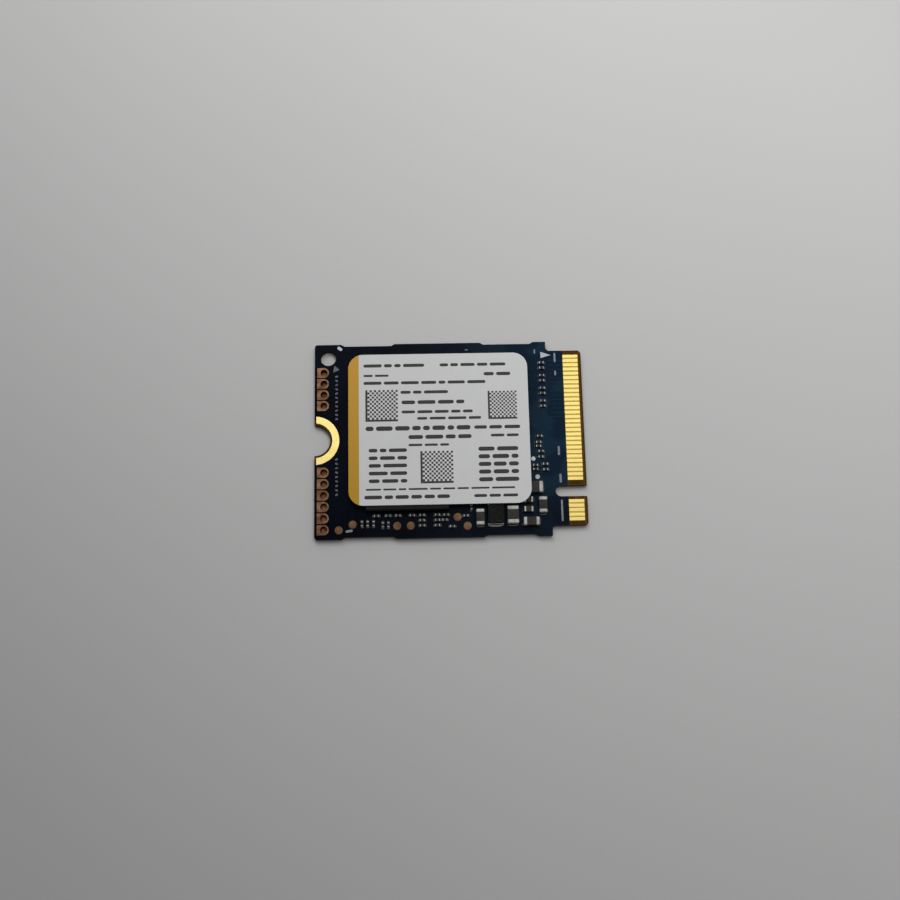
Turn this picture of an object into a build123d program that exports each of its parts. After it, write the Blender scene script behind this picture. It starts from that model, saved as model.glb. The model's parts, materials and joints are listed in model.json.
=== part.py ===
"""M.2 solid state drive, 22 x 30 mm, single-sided, with an M-key card edge.

The card lies label up with its underside on Z = 0. The origin is under the middle of the board,
+X runs towards the contact fingers and +Y towards the side with the tooling hole. Millimetres.
"""
import os

from build123d import *

# Circuit board
board_length = 30.0
board_width = 22.0
board_thickness = 0.8
board_corner_radius = 0.3
copper_thickness = 0.04

# Long sides, set back between the corner blocks and a break-off tab
side_relief = 0.22
relief_ramp = 0.4
notch_block_length = 2.95
shoulder_block_length = 1.4
tab_length = 9.6

# Connector tongue and its key
tongue_length = 4.0
shoulder_depth = 1.075
shoulder_fillet = 0.45
tongue_corner_chamfer = 0.25
bevel_run = 0.4
bevel_drop = 0.22
key_offset = 6.125
key_width = 1.2
key_depth = 3.5

# Contact fingers
finger_pitch = 0.5
finger_width = 0.35
finger_length = 1.7
finger_side_margin = 0.5
finger_key_land = 0.2
mask_gap = 0.06

# Screw notch, its plated lands and the tooling hole
notch_radius = 1.75
screw_land_setback = 0.2
screw_land_width = 0.8
screw_land_end_margin = 0.2
tooling_hole_diameter = 1.75
tooling_hole_inset = 1.5
tooling_hole_side_margin = 0.68

# Plated pads along the notch end
edge_pad_pitch = 1.27
edge_pad_spacing = 0.12
edge_pad_inset = 0.27
edge_pad_length = 1.33
edge_pad_bore = 0.75
edge_pad_barrel_wall = 0.05
edge_pad_back_ring = 0.1
edge_pad_bore_sides = 12
pad_round_sides = 16
upper_pad_land_gap = 0.62
upper_pad_hole_gap = 0.2
lower_pad_land_gap = 0.28
lower_pad_side_margin = 0.4

# Round test points: from the notch end or from the connector end, and from the lower side
test_point_diameter = 0.88
notch_test_points = [(2.67, 0.99), (4.19, 1.58)]
strip_test_points = [(20.97, 1.35), (19.49, 1.35), (14.36, 2.2), (13.28, 1.22)]

# Round fiducial pads: from the connector end and from the lower side
fiducial_diameter = 0.5
fiducial_places = [(5.43, 6.5), (5.84, 8.54)]

# Label
label_length = 19.9
label_width = 16.95
label_thickness = 0.1
label_corner_radius = 1.6
label_connector_margin = 6.26
label_package_setback = 0.48

# Packages under the label
package_height = 0.95
package_edge_chamfer = 0.04
package_front_margin = 2.98
package_gap = 0.8
flash_length = 9.0
controller_length = 7.8
controller_width = 11.0
controller_label_overhang = 0.44
controller_front_setback = 5.5

# Solder balls under the packages, with a bare middle
ball_height = 0.2
ball_diameter = 0.4
ball_sides = 6
ball_edge_margin = 0.55
flash_ball_pitch = 1.0
controller_ball_pitch = 1.0
ball_ring_count = 2

# Power chip and clock crystal in front of the controller
power_chip_size = 2.6
power_chip_height = 0.6
power_chip_inset = 3.6
crystal_length = 2.0
crystal_width = 1.6
crystal_height = 0.5
crystal_lid_margin = 0.15
crystal_base_height = 0.3
crystal_gap = 0.6
controller_neighbour_gap = 1.2

# Large chip capacitors
large_case_length = 2.0
large_case_width = 1.3
large_case_height = 0.95
large_case_band = 0.52

# Medium chip capacitors
medium_case_length = 1.8
medium_case_width = 0.95
medium_case_height = 0.85
medium_case_band = 0.45

# Small chip capacitors
small_case_length = 1.05
small_case_width = 0.65
small_case_height = 0.55
small_case_band = 0.27

# End caps of the large, medium and small capacitors
end_cap_plating = 0.03
end_cap_chamfer = 0.05

# Tiny chip parts
tiny_case_length = 0.6
tiny_case_width = 0.3
tiny_case_height = 0.3
tiny_case_band = 0.17
tiny_cap_plating = 0.015

# Power inductor
inductor_length = 2.2
inductor_width = 1.78
inductor_height = 0.95
inductor_chamfer = 0.1
inductor_foot_length = 0.5
inductor_terminal_thickness = 0.08
inductor_terminal_height = 0.5
inductor_terminal_margin = 0.04

# Solder joints of the larger parts
solder_run = 0.15
inductor_solder_run = 0.2
solder_rise_ratio = 0.6
solder_side_margin = 0.06
solder_hollow_ratio = 0.06

# Power corner: the corner capacitor sets the row to its left and the column above it
corner_capacitor_inset = 5.43
corner_capacitor_side_margin = 1.07
corner_part_gap = 0.3
power_part_gap = 0.33
inductor_side_margin = 1.27
right_capacitor_side_margin = 1.27
left_capacitor_side_margin = 1.2
key_capacitor_inset = 4.53
column_part_gap = 0.25
small_capacitor_side_gap = 0.42
small_capacitor_lift = 0.55
small_capacitor_gap = 0.4
label_edge_capacitor_inset = 4.92
label_edge_capacitor_gap = 0.26

# Coupling capacitors in pairs beside the fingers, from the upper side and the connector end
coupling_pair_count = 4
coupling_pair_pitch = 1.47
coupling_spacing = 0.6
coupling_side_margin = 2.8
coupling_inset = 4.25

# Control chip parts beside the label: centres from the connector end and from the lower side
control_part_places = [
    (5.06, 11.06), (5.2, 10.37), (5.22, 9.93), (4.96, 9.34), (5.0, 8.71),
    (4.54, 7.9), (4.52, 7.28), (5.64, 7.79), (5.64, 7.33),
]

# Chip parts in the strip in front of the flash package: centres from the connector end, by row
strip_back_gap = 0.36
strip_row_pitch = 0.57
strip_low_drop = 0.15
strip_back_row = [23.21, 21.93, 20.85, 19.30, 18.23, 16.56, 15.61]
strip_middle_row = [18.23, 16.56, 15.76]
strip_front_row = [18.23, 16.56]
strip_low_row = [14.95]
strip_upright_row = [24.78, 24.17, 23.52]
strip_low_upright_row = [22.51, 21.91]
strip_end_part_gap = 0.77
label_side_part_gap = 0.31
label_side_part_lift = 0.27

# Places that follow from the sizes above
notch_end = -board_length / 2
connector_end = board_length / 2
side = board_width / 2
top = board_thickness
shoulder = connector_end - tongue_length
tongue_half_width = side - shoulder_depth
finger_outer_end = connector_end - bevel_run
mask_end = finger_outer_end - finger_length - mask_gap
screw_land_inner_radius = notch_radius + screw_land_setback
screw_land_radius = screw_land_inner_radius + screw_land_width
package_front = -side + package_front_margin
package_bottom = top + ball_height
label_bottom = package_bottom + package_height
label_right = connector_end - label_connector_margin
controller_right = label_right - controller_label_overhang
controller_front = package_front + controller_front_setback
flash_width = controller_front_setback + controller_width
flash_right = controller_right - controller_length - package_gap
tooling_hole_y = side - tooling_hole_side_margin - tooling_hole_diameter / 2
inductor_terminal_width = inductor_width - 2 * inductor_terminal_margin
edge_pad_width = edge_pad_pitch - edge_pad_spacing
edge_pad_centre = notch_end + edge_pad_inset + edge_pad_length - edge_pad_width / 2
matching_tolerance = 0.001


def box_between(x_range, y_range, z_range):
    """Box from its low and high corners."""
    (x0, x1), (y0, y1), (z0, z1) = x_range, y_range, z_range
    corner = (Align.MIN, Align.MIN, Align.MIN)
    return Pos(x0, y0, z0) * Box(x1 - x0, y1 - y0, z1 - z0, align=corner)


def upright_prism(x, y, across, sides, bottom, height):
    """Regular prism that stands on the given level, with the given size from corner to corner."""
    return extrude(Pos(x, y, bottom) * RegularPolygon(across / 2, sides), height)


# Circuit board

def board_plan():
    """Outline of the board seen from above, without its notch, hole and key."""
    relieved = side - side_relief
    block_end = notch_end + notch_block_length
    shoulder_block = shoulder - shoulder_block_length
    tab_middle = (block_end + shoulder_block) / 2
    tab_start = tab_middle - tab_length / 2
    tab_end = tab_middle + tab_length / 2
    upper_half = [
        (notch_end, 0),
        (notch_end, side),
        (block_end, side),
        (block_end + relief_ramp, relieved),
        (tab_start - relief_ramp, relieved),
        (tab_start, side),
        (tab_end, side),
        (tab_end + relief_ramp, relieved),
        (shoulder_block - relief_ramp, relieved),
        (shoulder_block, side),
        (shoulder, side),
        (shoulder, tongue_half_width),
        (connector_end - tongue_corner_chamfer, tongue_half_width),
        (connector_end, tongue_half_width - tongue_corner_chamfer),
        (connector_end, 0),
    ]
    half = make_face(Polyline(*upper_half, close=True))
    plan = half + mirror(half, about=Plane.XZ)

    def corners_at(x, y):
        return [
            corner for corner in plan.vertices()
            if abs(corner.X - x) < matching_tolerance and abs(abs(corner.Y) - y) < matching_tolerance
        ]

    plan = fillet(corners_at(shoulder, tongue_half_width), shoulder_fillet)
    return fillet(corners_at(notch_end, side), board_corner_radius)


def key_slot():
    """Plan of the key: a slot with a full round at its root, open at the connector end."""
    root = connector_end - key_depth + key_width / 2
    run = connector_end - root
    slot = Pos(root + run / 2, -key_offset) * Rectangle(run, key_width)
    return slot + Pos(root, -key_offset) * Circle(key_width / 2)


def edge_bevels():
    """The two wedges that thin the tip of the tongue."""
    low = copper_thickness
    high = top - copper_thickness
    wedges = []
    for level, drop in ((high, -bevel_drop), (low, bevel_drop)):
        profile = Polyline(
            (finger_outer_end, level), (connector_end, level), (connector_end, level + drop), close=True,
        )
        wedges.append(extrude(Plane.XZ * make_face(profile), side, both=True))
    return wedges


def circuit_board(inlays):
    """Bare board with pockets for its inlaid copper."""
    plan = board_plan() - key_slot()
    plan -= Pos(notch_end, 0) * Circle(notch_radius)
    plan -= Pos(notch_end + tooling_hole_inset, tooling_hole_y) * Circle(tooling_hole_diameter / 2)
    board = extrude(plan, board_thickness)
    bare_tongue = ((mask_end, connector_end), (-side, side))
    board -= box_between(*bare_tongue, (0, copper_thickness))
    board -= box_between(*bare_tongue, (top - copper_thickness, top))
    for wedge in edge_bevels():
        board -= wedge
    for inlay in inlays:
        board -= inlay
    return board


# Copper on the board

def finger_rows(count_step, bottom):
    """One face's row of fingers, centred on the tongue and left out beside the key."""
    row_length = 2 * (tongue_half_width - finger_side_margin) - finger_width
    count = int(row_length / finger_pitch + matching_tolerance) + 1 - count_step
    key_clearance = (key_width + finger_width) / 2 + finger_key_land
    fingers = []
    for index in range(count):
        y = ((count - 1) / 2 - index) * finger_pitch
        if abs(y + key_offset) > key_clearance:
            fingers.append(box_between(
                (finger_outer_end - finger_length, finger_outer_end),
                (y - finger_width / 2, y + finger_width / 2),
                (bottom, bottom + copper_thickness),
            ))
    return fingers


def screw_lands():
    """Plated half ring on each face, set back from the wall of the notch and from the end of the board."""
    ring = Circle(screw_land_radius) - Circle(screw_land_inner_radius)
    reach = screw_land_radius - screw_land_end_margin
    window = Pos(screw_land_end_margin + reach / 2, 0) * Rectangle(reach, 2 * screw_land_radius)
    half_ring = Pos(notch_end, 0) * (ring & window)
    return [
        Pos(0, 0, bottom) * extrude(half_ring, copper_thickness)
        for bottom in (0, top - copper_thickness)
    ]


def edge_pad_blank(y):
    """Pad before drilling: a D-shaped land on the label side, a barrel and a round land on the back."""
    straight = edge_pad_length - edge_pad_width / 2
    barrel_across = edge_pad_bore + 2 * edge_pad_barrel_wall
    back_across = barrel_across + 2 * edge_pad_back_ring
    land = Pos(edge_pad_centre - straight / 2, y) * Rectangle(straight, edge_pad_width)
    land += Pos(edge_pad_centre, y) * RegularPolygon(edge_pad_width / 2, pad_round_sides)
    pad = Pos(0, 0, top - copper_thickness) * extrude(land, copper_thickness)
    pad += upright_prism(edge_pad_centre, y, barrel_across, edge_pad_bore_sides, 0, board_thickness)
    return pad + upright_prism(edge_pad_centre, y, back_across, edge_pad_bore_sides, 0, copper_thickness)


def edge_pad_bores(places):
    """Blind bores that stop at the copper on the back."""
    depth = board_thickness - copper_thickness
    return [
        upright_prism(edge_pad_centre, y, edge_pad_bore, edge_pad_bore_sides, copper_thickness, depth)
        for y in places
    ]


def edge_pad_places(first_side, last_side, direction):
    """As many pads as fit between two limits, counted outwards from the screw land."""
    count = int((last_side - first_side + edge_pad_spacing) / edge_pad_pitch)
    return [direction * (first_side + edge_pad_width / 2 + index * edge_pad_pitch) for index in range(count)]


def round_pad(x, y, diameter):
    """Round pad inlaid in the label side."""
    return upright_prism(x, y, diameter, pad_round_sides, top - copper_thickness, copper_thickness)


def test_points():
    near_notch = [(notch_end + inset, margin) for inset, margin in notch_test_points]
    along_strip = [(connector_end - inset, margin) for inset, margin in strip_test_points]
    return [round_pad(x, margin - side, test_point_diameter) for x, margin in near_notch + along_strip]


def fiducials():
    return [
        round_pad(connector_end - inset, margin - side, fiducial_diameter)
        for inset, margin in fiducial_places
    ]


# Packages and label

def package(right, front, length, width):
    """Moulded package with a slight break along its top edges."""
    block = box_between(
        (right - length, right), (front, front + width), (package_bottom, package_bottom + package_height),
    )
    return chamfer(block.faces().sort_by(Axis.Z)[-1].edges(), package_edge_chamfer)


def solder_balls(right, front, length, width, pitch):
    """Rings of balls under a package, as squat prisms between the board and the package."""
    columns = int((length - 2 * ball_edge_margin) / pitch) + 1
    rows = int((width - 2 * ball_edge_margin) / pitch) + 1
    middle_x = right - length / 2
    middle_y = front + width / 2
    balls = []
    for column in range(columns):
        for row in range(rows):
            ring = min(column, row, columns - 1 - column, rows - 1 - row)
            if ring < ball_ring_count:
                x = middle_x + (column - (columns - 1) / 2) * pitch
                y = middle_y + (row - (rows - 1) / 2) * pitch
                balls.append(upright_prism(x, y, ball_diameter, ball_sides, top, ball_height))
    return balls


def label():
    """Thin sheet with round corners that lies across both packages."""
    middle_x = label_right - label_length / 2
    middle_y = package_front + label_package_setback + label_width / 2
    outline = Pos(middle_x, middle_y, label_bottom) * RectangleRounded(
        label_length, label_width, label_corner_radius,
    )
    return extrude(outline, label_thickness)


def power_chip():
    """Flat leadless chip in front of the controller."""
    right = controller_right - power_chip_inset
    back = controller_front - controller_neighbour_gap
    chip = box_between(
        (right - power_chip_size, right), (back - power_chip_size, back), (top, top + power_chip_height),
    )
    return chamfer(chip.faces().sort_by(Axis.Z)[-1].edges(), package_edge_chamfer)


def clock_crystal():
    """Ceramic base with a smaller metal lid."""
    left = controller_right - power_chip_inset + crystal_gap
    back = controller_front - controller_neighbour_gap
    x_range = (left, left + crystal_length)
    y_range = (back - crystal_width, back)
    base = box_between(x_range, y_range, (top, top + crystal_base_height))
    lid = box_between(
        (x_range[0] + crystal_lid_margin, x_range[1] - crystal_lid_margin),
        (y_range[0] + crystal_lid_margin, y_range[1] - crystal_lid_margin),
        (top + crystal_base_height, top + crystal_height),
    )
    return base + lid


# Chip parts: each is made along X at the origin and turned into place

def capacitor_body(length, width, height):
    """Ceramic block held inside its two end caps, one plating thickness above the board."""
    inner_length = length - 2 * end_cap_plating
    inner_width = width - 2 * end_cap_plating
    return box_between(
        (-inner_length / 2, inner_length / 2),
        (-inner_width / 2, inner_width / 2),
        (top + end_cap_plating, top + height - end_cap_plating),
    )


def capacitor_caps(length, width, height, band):
    """Two metal caps that wrap the ends of the ceramic block."""
    caps = []
    for direction in (-1, 1):
        outer_end = direction * length / 2
        inner_end = direction * (length / 2 - band)
        x_range = (min(outer_end, inner_end), max(outer_end, inner_end))
        cap = box_between(x_range, (-width / 2, width / 2), (top, top + height))
        outer_face = cap.faces().sort_by(Axis.X)[-1 if direction > 0 else 0]
        cap = chamfer(outer_face.edges(), end_cap_chamfer)
        caps.append(cap - capacitor_body(length, width, height))
    return caps


def solder_joint(end, width, height, run):
    """Hollow fillet of solder against the end of a part that reaches to the given X."""
    rise = height * solder_rise_ratio
    foot = (end + run, top)
    head = (end, top + rise)
    waist = (end + run / 2 - solder_hollow_ratio * rise, top + rise / 2 - solder_hollow_ratio * run)
    profile = make_face([
        Line((end, top), foot),
        ThreePointArc(foot, waist, head),
        Line(head, (end, top)),
    ])
    half_width = width / 2 - solder_side_margin
    return extrude(Plane.XZ * profile, half_width, both=True)


def end_joints(length, width, height, run):
    """The solder joints at both ends of a part."""
    joint = solder_joint(length / 2, width, height, run)
    return [joint, Rot(0, 0, 180) * joint]


def tiny_part():
    """Tiny chip part: its ceramic middle and its two end blocks."""
    half = tiny_case_length / 2
    middle = half - tiny_case_band
    body_half_width = tiny_case_width / 2 - tiny_cap_plating
    body = box_between(
        (-middle, middle),
        (-body_half_width, body_half_width),
        (top, top + tiny_case_height - tiny_cap_plating),
    )
    block = box_between(
        (middle, half), (-tiny_case_width / 2, tiny_case_width / 2), (top, top + tiny_case_height),
    )
    return body, [block, Rot(0, 0, 180) * block]


def tiny_group(places):
    """Bodies and end blocks of tiny parts at the given places."""
    body, blocks = tiny_part()
    bodies = [place * body for place in places]
    ends = [place * block for place in places for block in blocks]
    return bodies, ends


def inductor_core():
    """Moulded block that stands on the feet of its terminals."""
    half_length = inductor_length / 2 - inductor_terminal_thickness
    core = box_between(
        (-half_length, half_length),
        (-inductor_width / 2, inductor_width / 2),
        (top + inductor_terminal_thickness, top + inductor_height),
    )
    return chamfer(core.edges().filter_by(Axis.Z), inductor_chamfer)


def inductor_terminals():
    """Two L-shaped straps: a foot under the core and a plate up its end."""
    half_length = inductor_length / 2
    y_range = (-inductor_terminal_width / 2, inductor_terminal_width / 2)
    foot = box_between(
        (half_length - inductor_foot_length, half_length), y_range, (top, top + inductor_terminal_thickness),
    )
    plate = box_between(
        (half_length - inductor_terminal_thickness, half_length),
        y_range,
        (top, top + inductor_terminal_height),
    )
    strap = foot + plate
    return [strap, Rot(0, 0, 180) * strap]


# Layout of the power corner

def power_layout():
    """Centre and turn of each larger part, chained from the corner capacitor by the part gaps."""
    corner_x = connector_end - corner_capacitor_inset - medium_case_length / 2
    corner_y = -side + corner_capacitor_side_margin + medium_case_width / 2
    corner_left = corner_x - medium_case_length / 2 - solder_run
    corner_top = corner_y + medium_case_width / 2

    right_x = corner_left - corner_part_gap - large_case_width / 2
    right_y = -side + right_capacitor_side_margin + large_case_length / 2
    inductor_x = right_x - large_case_width / 2 - power_part_gap - inductor_width / 2
    inductor_y = -side + inductor_side_margin + inductor_length / 2
    left_x = inductor_x - inductor_width / 2 - power_part_gap - medium_case_width / 2
    left_y = -side + left_capacitor_side_margin + medium_case_length / 2

    key_x = connector_end - key_capacitor_inset - medium_case_width / 2
    key_y = corner_top + column_part_gap + solder_run + medium_case_length / 2
    key_top = key_y + medium_case_length / 2 + solder_run
    edge_x = connector_end - label_edge_capacitor_inset - large_case_length / 2
    edge_y = key_top + label_edge_capacitor_gap + large_case_width / 2

    small_right = key_x - medium_case_width / 2 - small_capacitor_side_gap - solder_run
    small_x = small_right - small_case_length / 2
    first_small_y = corner_top + small_capacitor_lift + small_case_width / 2
    second_small_y = first_small_y + small_case_width + small_capacitor_gap

    upright = 90
    return {
        "left_power_capacitor": Pos(left_x, left_y) * Rot(0, 0, upright),
        "power_inductor": Pos(inductor_x, inductor_y) * Rot(0, 0, upright),
        "right_power_capacitor": Pos(right_x, right_y) * Rot(0, 0, upright),
        "corner_capacitor": Pos(corner_x, corner_y),
        "key_capacitor": Pos(key_x, key_y) * Rot(0, 0, upright),
        "label_edge_capacitor": Pos(edge_x, edge_y),
        "lower_small_capacitor": Pos(small_x, first_small_y),
        "upper_small_capacitor": Pos(small_x, second_small_y),
    }


def coupling_places():
    """Pairs of parts across the connector end's signal lines."""
    x = connector_end - coupling_inset - tiny_case_length / 2
    places = []
    for pair in range(coupling_pair_count):
        middle = side - coupling_side_margin - pair * coupling_pair_pitch
        places += [Pos(x, middle - coupling_spacing / 2), Pos(x, middle + coupling_spacing / 2)]
    return places


def strip_places(left_capacitor_x):
    """Rows of parts in front of the flash package, and two beside the left power capacitor."""
    back_y = package_front - strip_back_gap - tiny_case_width / 2
    middle_y = back_y - strip_row_pitch
    front_y = middle_y - strip_row_pitch
    upright_y = (middle_y + front_y) / 2
    level_rows = (
        (strip_back_row, back_y),
        (strip_middle_row, middle_y),
        (strip_front_row, front_y),
        (strip_low_row, front_y - strip_low_drop),
    )
    upright_rows = ((strip_upright_row, upright_y), (strip_low_upright_row, upright_y - strip_low_drop))
    turn = Rot(0, 0, 90)
    places = [Pos(connector_end - inset, y) for row, y in level_rows for inset in row]
    places += [Pos(connector_end - inset, y) * turn for row, y in upright_rows for inset in row]

    capacitor_left = left_capacitor_x - medium_case_width / 2
    end_x = capacitor_left - strip_end_part_gap - tiny_case_length / 2
    label_side_x = capacitor_left - label_side_part_gap - tiny_case_width / 2
    places.append(Pos(end_x, back_y - strip_low_drop))
    places.append(Pos(label_side_x, package_front + label_side_part_lift) * turn)
    return places


def build_nodes():
    """Every piece of the drive, by node name, as a list of solids."""
    tooling_hole_side = tooling_hole_y - tooling_hole_diameter / 2
    pad_places = {
        "upper_edge_pads": edge_pad_places(
            screw_land_radius + upper_pad_land_gap, tooling_hole_side - upper_pad_hole_gap, 1,
        ),
        "lower_edge_pads": edge_pad_places(
            screw_land_radius + lower_pad_land_gap, side - lower_pad_side_margin, -1,
        ),
    }
    lands = {
        "screw_lands": screw_lands(),
        "test_points": test_points(),
        "fiducial_pads": fiducials(),
    }
    for name, places in pad_places.items():
        lands[name] = [edge_pad_blank(y) for y in places]
    inlays = [solid for solids in lands.values() for solid in solids]
    nodes = {"circuit_board": [circuit_board(inlays)], **lands}
    for name, places in pad_places.items():
        nodes[name] = [blank - bore for blank, bore in zip(lands[name], edge_pad_bores(places))]
    nodes["top_contact_fingers"] = finger_rows(0, top - copper_thickness)
    nodes["bottom_contact_fingers"] = finger_rows(1, 0)

    flash_place = (flash_right, package_front, flash_length, flash_width)
    controller_place = (controller_right, controller_front, controller_length, controller_width)
    nodes["flash_package"] = [package(*flash_place)]
    nodes["flash_solder_balls"] = solder_balls(*flash_place, flash_ball_pitch)
    nodes["controller_package"] = [package(*controller_place)]
    nodes["controller_solder_balls"] = solder_balls(*controller_place, controller_ball_pitch)
    nodes["label"] = [label()]
    nodes["power_chip"] = [power_chip()]
    nodes["clock_crystal"] = [clock_crystal()]

    layout = power_layout()
    large = (large_case_length, large_case_width, large_case_height)
    medium = (medium_case_length, medium_case_width, medium_case_height)
    small = (small_case_length, small_case_width, small_case_height)
    capacitors = {
        "left_power_capacitor": (medium, medium_case_band),
        "right_power_capacitor": (large, large_case_band),
        "corner_capacitor": (medium, medium_case_band),
        "key_capacitor": (medium, medium_case_band),
        "label_edge_capacitor": (large, large_case_band),
        "lower_small_capacitor": (small, small_case_band),
        "upper_small_capacitor": (small, small_case_band),
    }
    joints = []
    for name, (case, band) in capacitors.items():
        place = layout[name]
        nodes[name + "_body"] = [place * capacitor_body(*case)]
        nodes[name + "_end_caps"] = [place * cap for cap in capacitor_caps(*case, band)]
        joints += [place * joint for joint in end_joints(*case, solder_run)]

    inductor_place = layout["power_inductor"]
    terminal_case = (inductor_length, inductor_terminal_width, inductor_terminal_height)
    nodes["power_inductor_core"] = [inductor_place * inductor_core()]
    nodes["power_inductor_terminals"] = [inductor_place * strap for strap in inductor_terminals()]
    joints += [inductor_place * joint for joint in end_joints(*terminal_case, inductor_solder_run)]
    nodes["solder_joints"] = joints

    control_places = [Pos(connector_end - inset, margin - side) for inset, margin in control_part_places]
    groups = {
        "coupling_capacitor": coupling_places(),
        "control_part": control_places,
        "strip_part": strip_places(layout["left_power_capacitor"].position.X),
    }
    for name, places in groups.items():
        bodies, ends = tiny_group(places)
        nodes[name + "_bodies"] = bodies
        nodes[name + "_ends"] = ends
    return nodes


os.makedirs("parts", exist_ok=True)
for name, solids in build_nodes().items():
    piece = solids[0] if len(solids) == 1 else Compound(children=solids)
    piece.label = name
    export_step(piece, f"parts/{name}.step")
    print(name, len(solids))
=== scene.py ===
# %% [markdown]
# # A small solid state drive on a pale table
# The CAD model already has the drive's true sizes: a keyed circuit card, two chip packages under a
# label, and rows of small surface-mount parts. This lesson dresses it. Blender adds the finishes, the
# rounded metal, the solder and the printed marks that are too fine for the solids.
# The scene starts empty, so that nothing but the drive and its stage is in the picture.

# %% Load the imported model
import json
import math
import random

import bmesh
import bpy
from mathutils import Matrix, Vector

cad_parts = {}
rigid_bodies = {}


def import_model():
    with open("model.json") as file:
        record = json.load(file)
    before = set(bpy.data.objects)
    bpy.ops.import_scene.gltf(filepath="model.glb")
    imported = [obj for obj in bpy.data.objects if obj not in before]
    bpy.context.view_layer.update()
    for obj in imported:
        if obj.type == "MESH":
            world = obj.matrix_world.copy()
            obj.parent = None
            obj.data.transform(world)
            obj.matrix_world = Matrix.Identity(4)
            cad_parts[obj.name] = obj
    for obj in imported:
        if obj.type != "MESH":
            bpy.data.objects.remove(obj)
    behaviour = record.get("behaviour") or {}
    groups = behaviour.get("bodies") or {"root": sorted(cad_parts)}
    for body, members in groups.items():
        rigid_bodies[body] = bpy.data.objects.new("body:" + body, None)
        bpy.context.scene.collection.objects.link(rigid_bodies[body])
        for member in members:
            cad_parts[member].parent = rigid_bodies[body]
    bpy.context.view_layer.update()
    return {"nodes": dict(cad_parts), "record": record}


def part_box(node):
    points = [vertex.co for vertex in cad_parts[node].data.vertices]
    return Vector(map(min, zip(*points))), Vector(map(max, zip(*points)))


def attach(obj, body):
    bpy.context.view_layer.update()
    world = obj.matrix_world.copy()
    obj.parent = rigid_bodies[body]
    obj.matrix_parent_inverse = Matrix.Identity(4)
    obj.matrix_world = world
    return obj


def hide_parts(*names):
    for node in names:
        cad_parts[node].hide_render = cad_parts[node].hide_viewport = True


for leftover in list(bpy.data.objects):
    bpy.data.objects.remove(leftover)
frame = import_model()
MM = 0.001

# %% [markdown]
# ## The camera
# A photograph of a flat card can be matched exactly, because the card's edges, its key and the pitch of
# its contacts are standard sizes. A pinhole camera was fitted to those edges: it stands about 11 cm
# above the card and leans 11 degrees. Setting its axes directly keeps its small roll, which a "look at"
# constraint would lose.

# %% Camera from its fitted axes
CAMERA_PLACE = Vector((-2.4641, -23.8163, 111.9787)) * MM
CAMERA_LOOK = Vector((0.02145, 0.19829, -0.97991)).normalized()
CAMERA_UP = Vector((0.01783, 0.97990, 0.19868)).normalized()
CAMERA_LENS = 40.998
SENSOR_WIDTH = 36.0
CLIP_START = 0.001

camera = bpy.data.objects.new("camera", bpy.data.cameras.new("camera"))
bpy.context.scene.collection.objects.link(camera)
camera.data.lens = CAMERA_LENS
camera.data.sensor_width = SENSOR_WIDTH
camera.data.clip_start = CLIP_START
camera_right = CAMERA_LOOK.cross(CAMERA_UP)
camera_axes = Matrix((camera_right, CAMERA_UP, -CAMERA_LOOK)).transposed().to_4x4()
camera_axes.translation = CAMERA_PLACE
camera.matrix_world = camera_axes
bpy.context.scene.camera = camera
bpy.context.scene.view_settings.view_transform = "Standard"
camera_lean = math.degrees(math.acos(-CAMERA_LOOK.z))
print("camera leans", round(camera_lean, 2), "degrees from straight down")

# %% [markdown]
# ## Writing shaders as sums
# Every finish below is a little arithmetic on the place of a point: "how far along the card is it",
# "does the face look up or sideways", "how does this noise vary here". Node graphs say this with dozens
# of boxes. A small class that wraps one socket lets Python's own operators add those boxes, so a mask
# reads as `flat * (1 - in_key)`. Its one method `node` adds anything that isn't plain arithmetic.

# %% A socket that does arithmetic
class Wire:
    """One output of a shader node. Arithmetic on it adds Math nodes to the same tree."""

    def __init__(self, tree, socket=None):
        self.tree = tree
        self.socket = socket

    def node(self, kind, settings=(), inputs=(), output=0):
        """Adds a node with its settings, and sets or links each named or numbered input."""
        made = self.tree.nodes.new(kind)
        for name, value in dict(settings).items():
            setattr(made, name, value)
        for key, value in dict(inputs).items():
            socket = made.inputs[key]
            if isinstance(value, Wire):
                self.tree.links.new(value.socket, socket)
            elif socket.type == "RGBA":
                socket.default_value = (*value, 1.0)
            else:
                socket.default_value = value
        return Wire(self.tree, made.outputs[output])

    def out(self, name):
        """Another output of the same node."""
        return Wire(self.tree, self.socket.node.outputs[name])

    def math(self, operation, *others):
        """Adds one Math node that starts from this wire."""
        return self.node("ShaderNodeMath", {"operation": operation}, enumerate((self, *others)))

    def __add__(self, other):
        return self.math("ADD", other)

    def __sub__(self, other):
        return self.math("SUBTRACT", other)

    def __rsub__(self, other):
        return self * -1.0 + other

    def __mul__(self, other):
        return self.math("MULTIPLY", other)

    def __truediv__(self, other):
        return self.math("DIVIDE", other)

    def __mod__(self, other):
        return self.math("FLOORED_MODULO", other)

    def __gt__(self, other):
        return self.math("GREATER_THAN", other)

    def __lt__(self, other):
        return self.math("LESS_THAN", other)

    def __abs__(self):
        return self.math("ABSOLUTE")

    __radd__ = __add__
    __rmul__ = __mul__


print("arithmetic on sockets is ready")

# %% Small words built on the socket class
def start_finish(name, **steady):
    """A new material and a free wire in it. Steady values go straight onto the Principled shader."""
    material = bpy.data.materials.new(name)
    material.use_nodes = True
    shader = material.node_tree.nodes["Principled BSDF"]
    for socket, value in steady.items():
        shader.inputs[socket.replace("_", " ")].default_value = value
    return material, Wire(material.node_tree)


def end_finish(material, **varying):
    """Links what changes over the surface to the Principled shader."""
    shader = material.node_tree.nodes["Principled BSDF"]
    for socket, wire in varying.items():
        material.node_tree.links.new(wire.socket, shader.inputs[socket.replace("_", " ")])
    print("finish", material.name, "with", len(material.node_tree.nodes), "nodes")


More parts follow.
